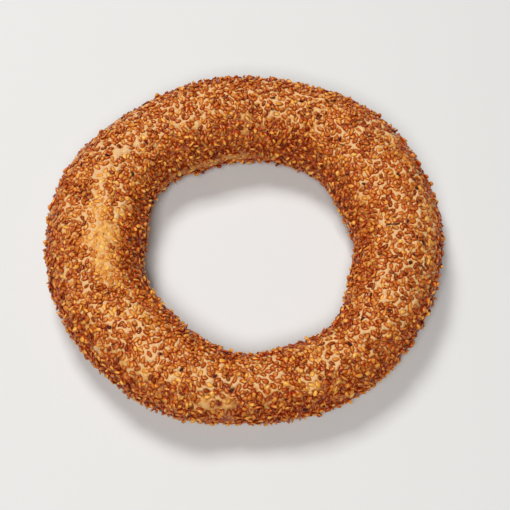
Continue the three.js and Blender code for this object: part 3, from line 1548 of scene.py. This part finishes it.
    def settle(
        self, layer: SeedLayer, sown: Sown, i: int, fit: tuple[int, float, np.ndarray]
    ) -> None:
        """Lay a seed down.

        Args:
            layer: The layer.
            sown: Its places.
            i: The number of the seed's place.
            fit: How it fits between its neighbours.
        """
        rules, seats, seat = self.strewing, self.seats, self.seats.count
        best, total, towards = fit
        flank, draws, out = sown.flank[i], sown.draws[i], sown.frames.out[i]
        proud = (
            np.interp(flank, (0, 1), layer.proud)
            - rules.bare_sinking * sown.bare[i]
            + rules.proud_spread * draws[0]
        )
        roll, pitch = np.interp(flank, (0, 1), layer.roll) * draws[1:]
        flat = sown.noses[i, best]
        nose = flat + rules.pitch_share * pitch * out
        nose = nose / math.sqrt(nose @ nose)
        rolled = math.cos(roll) * out + math.sin(roll) * np.cross(out, flat)
        top = rolled - rules.lean * towards
        top = top - (top @ nose) * nose
        seats.skin[seat] = sown.skin[i]
        seats.place[seat] = sown.skin[i] + out * (proud + layer.pile * total)
        seats.nose[seat] = nose
        seats.top[seat] = top / math.sqrt(top @ top)
        seats.out[seat] = out
        seats.azimuth[seat] = sown.frames.azimuth[i]
        seats.section[seat] = sown.frames.section[i]
        seats.bare[seat] = sown.bare[i]
        seats.heaped[seat] = sown.heaped[i]
        seats.outline[seat] = layer.outline
        seats.count += 1

    def lay(self, layer: SeedLayer) -> int:
        """Lay one layer of seeds over the bread, each where it has room enough.

        Args:
            layer: The layer.

        Returns:
            How many seeds there are now.
        """
        sown = self.sow(layer)
        grid = Neighbours(self.form.length)
        first = self.seats.count
        for i, place in enumerate(sown.skin):
            fit = self.fit(layer, sown, i, grid.near(place))
            if fit is not None:
                grid.add(place, self.seats.count)
                self.settle(layer, sown, i, fit)
        LOG.info("%s: %d seeds", layer.name, self.seats.count - first)
        return self.seats.count

    def toast(self) -> tuple[np.ndarray, np.ndarray]:
        """Decide how toasted each seed is.

        Returns:
            The kind of each seed, and its tone within the kind from 0, light, to 1, deep.
        """
        rules, count = self.toasting, self.seats.count
        azimuth, section = self.seats.azimuth[:count], self.seats.section[:count]
        bare, places = self.seats.bare[:count], self.seats.place[:count]
        drawn = self.random.normal(0, rules.spread, count)
        drift = sum(noise_at(places, size, 1, shift) * high for size, high, shift in rules.drifts)
        crest = crest_share(section)
        loose = 1 - self.seats.outline[:count]
        level = (
            rules.level
            + drawn * (1.0 - rules.crest_evenness * crest)
            + drift
            + rules.crest_level * crest
        )
        in_the_open = bare * (rules.bare_on_flank + rules.bare_on_crest * crest)
        # Painted light: seeds lying on others, up in the light, are made paler.
        level = level - rules.bare * in_the_open - rules.loose * loose
        kinds = np.array(list(SeedKind), dtype=object)
        edges = np.array(rules.edges)
        which = np.searchsorted(edges[1:-1], level)
        tone = np.clip((level - edges[which]) / (edges[which + 1] - edges[which]), 0, 1)
        black = len(kinds) - 1
        for spot in BLACK_SEED_PLACES:
            along, around = self.rope.patch_distance(azimuth, section, spot)
            which[np.argmin(np.hypot(along, around))] = black
        which[self.random.uniform(0, 1, count) < rules.burnt] = black
        return kinds[which], tone

    def build(self, materials: dict[SeedKind, bpy.types.Material]) -> list[bpy.types.Object]:
        """Join the seeds of each kind into a piece.

        Args:
            materials: What each kind is made of.

        Returns:
            The finished pieces.
        """
        kinds, tone = self.toast()
        shape, rim, faces = self.form.shape()
        form, seats, count = self.form, self.seats, len(kinds)
        nose, top = seats.nose[:count], seats.top[:count]
        turn = np.stack([nose, np.cross(top, nose), top], axis=1)
        size = self.random.normal(1.0, form.spread, (count, 3)).clip(form.least, form.most)
        size[kinds == SeedKind.BLACK] *= form.black
        corners = (shape[None] * size[:, None]) @ turn
        height = (corners * seats.out[:count, None]).sum(axis=2)
        # Syrup and painted shade: darker towards each seed's rim, towards its lower side against
        # the dough, and under a heap.
        shaded_lower_side = np.clip(1 - height / (form.thickness / 2), 0, 1)
        outline, bare = seats.outline[:count, None], seats.bare[:count, None]
        syrup_and_shade = outline * rim + (1 - outline) * shaded_lower_side
        syrup_and_shade = syrup_and_shade * (1 - self.toasting.bare_syrup_and_shade * bare)
        syrup_and_shade += self.toasting.heap_syrup_and_shade * seats.heaped[:count, None] * outline
        corners = corners + seats.place[:count, None]
        too_low = np.minimum(corners[:, :, 2].min(axis=1) - self.clearance, 0)
        corners[:, :, 2] -= too_low[:, None]
        pieces = []
        for kind in SeedKind:
            mine = kinds == kind
            values = {"tone": np.repeat(tone[mine], len(rim)), "syrup_and_shade": syrup_and_shade[mine].ravel()}
            pieces.append(self.join(kind, corners[mine], values, faces, materials[kind]))
        return pieces

    def join(
        self,
        kind: SeedKind,
        corners: np.ndarray,
        values: dict[str, np.ndarray],
        faces: list[tuple[int, ...]],
        material: bpy.types.Material,
    ) -> bpy.types.Object:
        """Join seeds of one kind into one piece.

        Args:
            kind: The kind.
            corners: The vertices of each seed, in millimetres.
            values: The values that its material reads, each by name and one a vertex.
            faces: The faces of one seed.
            material: What the kind is made of.

        Returns:
            The finished piece.
        """
        count, each = corners.shape[:2]
        all_faces = [tuple(v + each * i for v in face) for i in range(count) for face in faces]
        mesh = bpy.data.meshes.new(kind.value)
        mesh.from_pydata((corners.reshape(-1, 3) * METRES_PER_MM).tolist(), [], all_faces)
        mesh.shade_smooth()
        for name, each_value in values.items():
            mesh.attributes.new(name, "FLOAT", "POINT").data.foreach_set("value", each_value)
        LOG.info("%s: %d seeds, %d faces", kind.value, count, len(mesh.polygons))
        return finish_piece(mesh, material)


@dataclass(frozen=True)
class Stalk:
    """A burnt bit of sesame stalk that lies across the crest, in millimetres and degrees.

    Attributes:
        azimuth: Where it lies round the ring.
        section: Where it lies round the rope.
        length: Its length.
        radius: Its radius at the thick end.
        taper: How thick its other end is, as a share of that.
        sides: The faces round it.
        proud: How far its middle lies out of the dough, on top of the seeds.
    """

    azimuth: float = 359.0
    section: float = 101.0
    length: float = 5.4
    radius: float = 0.33
    taper: float = 0.8
    sides: int = 8
    proud: float = 1.9

    def build(self, rope: Rope, material: bpy.types.Material) -> bpy.types.Object:
        """Lay the stalk on the rope and dress it.

        Args:
            rope: The form of the rope.
            material: The stalk's finish.

        Returns:
            The finished piece.
        """
        place = rope.frames(np.radians([self.azimuth]), np.radians([self.section]))
        stick = bmesh.new()
        bmesh.ops.create_cone(
            stick,
            cap_ends=True,
            segments=self.sides,
            radius1=self.radius,
            radius2=self.radius * self.taper,
            depth=self.length,
        )
        axes = np.stack([place.out[0], place.along[0], place.side[0]])
        middle = place.point[0] + place.out[0] * self.proud
        for vertex in stick.verts:
            vertex.co = (np.array(vertex.co) @ axes + middle) * METRES_PER_MM
        mesh = bpy.data.meshes.new("burnt_stalk")
        stick.to_mesh(mesh)
        stick.free()
        mesh.shade_smooth()
        LOG.info("burnt stalk: %d faces", len(mesh.polygons))
        return finish_piece(mesh, material)


# ---------------------------------------------------------------------------------------------
# The studio
# ---------------------------------------------------------------------------------------------


@dataclass(frozen=True)
class SoftLight:
    """A square lamp that shines at the bread, in metres, degrees and watts.

    Attributes:
        name: Its name in the scene.
        azimuth: Where it stands round the bread, from +X towards +Y.
        elevation: How far up it stands.
        distance: How far off it is.
        size: The side of its square.
        power: How strong it is.
        colour: Its colour.
    """

    name: str
    azimuth: float
    elevation: float
    distance: float
    size: float
    power: float
    colour: Colour = (1.0, 1.0, 1.0)

    def make(self) -> None:
        """Put the lamp in the scene, turned to the bread."""
        data = bpy.data.lights.new(self.name, "AREA")
        data.shape = "SQUARE"
        data.size = self.size
        data.energy = self.power
        data.color = self.colour
        lamp = bpy.data.objects.new(self.name, data)
        azimuth, elevation = math.radians(self.azimuth), math.radians(self.elevation)
        flat = math.cos(elevation)
        towards = Vector(
            (flat * math.cos(azimuth), flat * math.sin(azimuth), math.sin(elevation))
        )
        lamp.location = towards * self.distance
        lamp.rotation_euler = towards.to_track_quat("Z", "Y").to_euler()
        bpy.context.scene.collection.objects.link(lamp)


@dataclass(frozen=True)
class Studio:
    """The floor, the light and the camera.

    Attributes:
        floor_half: Half the floor's side, in metres.
        floor_colour: The floor's colour.
        floor_roughness: How rough it is.
        floor_specular: How strongly it reflects.
        sky: How strong the even light of the room is.
        lamps: The lamps.
        camera_elevation: How far above the level the camera looks from, in degrees.
        camera_distance: How far off it is, in metres.
        aim: The point that it looks at, in metres.
        picture_side: The side of its square picture, in pixels.
        pixels_per_mm: How large a millimetre at that point is in the picture.
        sensor_width: The width of its sensor, in millimetres.
    """

    floor_half: float = 3.0
    floor_colour: Colour = (0.677, 0.672, 0.657)
    floor_roughness: float = 0.7
    floor_specular: float = 0.2
    sky: float = 0.055
    lamps: tuple[SoftLight, ...] = (
        SoftLight("window", azimuth=116, elevation=60, distance=1.3, size=0.4, power=11.3),
        SoftLight("ceiling", azimuth=262, elevation=59, distance=1.6, size=0.6, power=17.6),
    )
    camera_elevation: float = 63.5
    camera_distance: float = 0.6
    aim: tuple[float, float, float] = (0.00454, 0.00066, 0.0)
    picture_side: float = 510.0
    pixels_per_mm: float = 2.353
    sensor_width: float = 36.0

    def make_floor(self) -> None:
        """Lay a plain pale floor."""
        floor = bmesh.new()
        bmesh.ops.create_grid(floor, x_segments=1, y_segments=1, size=self.floor_half)
        mesh = bpy.data.meshes.new("floor")
        floor.to_mesh(mesh)
        floor.free()
        surface = Surface("pale_floor")
        surface.feed(surface.shader.inputs["Base Color"], self.floor_colour)
        surface.polish(self.floor_roughness, self.floor_specular)
        mesh.materials.append(surface.material)
        piece = bpy.data.objects.new("floor", mesh)
        bpy.context.scene.collection.objects.link(piece)

    def make_sky(self) -> None:
        """Fill the room with even light."""
        world = bpy.data.worlds.new("room")
        world.use_nodes = True
        background = world.node_tree.nodes["Background"]
        background.inputs["Color"].default_value = (1.0, 1.0, 1.0, 1.0)
        background.inputs["Strength"].default_value = self.sky
        bpy.context.scene.world = world

    def make_camera(self) -> None:
        """Put the camera in front of the bread and above it."""
        data = bpy.data.cameras.new("camera")
        focal_pixels = self.pixels_per_mm * self.camera_distance / METRES_PER_MM
        data.sensor_width = self.sensor_width
        data.lens = self.sensor_width * focal_pixels / self.picture_side
        camera = bpy.data.objects.new("camera", data)
        elevation = math.radians(self.camera_elevation)
        back = Vector((0.0, -math.cos(elevation), math.sin(elevation)))
        camera.location = Vector(self.aim) + back * self.camera_distance
        camera.rotation_euler = back.to_track_quat("Z", "Y").to_euler()
        bpy.context.scene.collection.objects.link(camera)
        bpy.context.scene.camera = camera

    def build(self) -> None:
        """Make all of it, and show colours as they are."""
        self.make_floor()
        self.make_sky()
        for lamp in self.lamps:
            lamp.make()
        self.make_camera()
        bpy.context.scene.view_settings.view_transform = "Standard"
        LOG.info("studio: %d lamps", len(self.lamps))


def main() -> None:
    """Build the bread and the studio round it."""
    logging.basicConfig(level=logging.INFO, format="%(name)s: %(message)s")
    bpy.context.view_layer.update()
    Studio().build()
    rope, skin = Rope(), Skin()
    crust = CrustMap(rope)
    grain = Grain().make()
    sesame = SesameCrust(rope, skin, crust)
    bed = sesame.lay(BED)
    sesame.lay(HEAP)
    Dough(rope, skin, crust).build(DoughFinish().make(grain), sesame.seats, bed, sesame.form)
    finishes = {kind: SEED_FINISHES[kind].make(grain) for kind in SeedKind}
    sesame.build(finishes)
    Stalk().build(rope, STALK_FINISH.make(grain))


if __name__ == "__main__":
    main()
